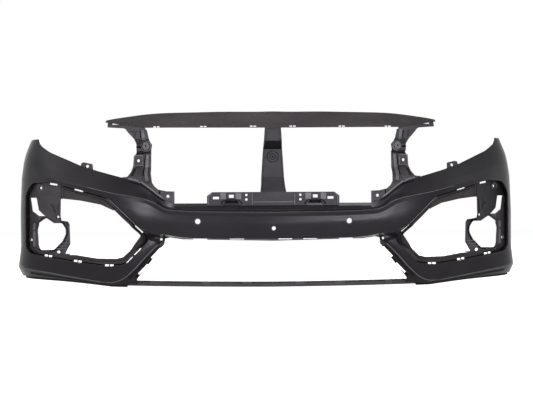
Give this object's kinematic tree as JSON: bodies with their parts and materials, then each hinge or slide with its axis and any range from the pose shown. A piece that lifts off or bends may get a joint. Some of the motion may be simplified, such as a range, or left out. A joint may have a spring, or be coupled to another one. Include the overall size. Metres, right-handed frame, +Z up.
{
  "type": "bumper cover",
  "caption": "Bare front bumper cover for a hatchback: one-level face with grille, fog lamp and sensor openings, wings swept back to the wheel arches.",
  "frame": {"origin": "midway between nose and rear edge, on the centre plane, at the level of the lowest edge", "axes": "+X towards the car's own left, -Y forwards (the nose), +Z up"},
  "size_m": [1.8138, 0.6408, 0.593],
  "materials": {
    "skin_paint": "satin black primer on moulded plastic",
    "grained_plastic": "fine-grained black plastic",
    "raw_plastic": "bare black moulded plastic",
    "stud_plastic": "bare black moulded plastic, weld flash at the head"
  },
  "bodies": {
    "root": {"face_moulding": "skin_paint", "top_beam": "grained_plastic", "centre_stay": "raw_plastic", "left_side_stay": "raw_plastic", "right_side_stay": "raw_plastic", "lower_crossbar": "grained_plastic", "left_fog_liner": "grained_plastic", "right_fog_liner": "grained_plastic", "left_fog_plate": "raw_plastic", "right_fog_plate": "raw_plastic", "left_fog_ring": "raw_plastic", "right_fog_ring": "raw_plastic", "left_lower_strip": "grained_plastic", "right_lower_strip": "grained_plastic", "left_headlamp_tab": "raw_plastic", "right_headlamp_tab": "raw_plastic", "left_sensor_seat": "raw_plastic", "right_sensor_seat": "raw_plastic", "centre_seat": "raw_plastic", "liner_studs": "stud_plastic", "strip_studs": "stud_plastic", "tab_studs": "stud_plastic", "foot_studs": "stud_plastic", "beam_studs": "stud_plastic"}
  },
  "joints": []
}
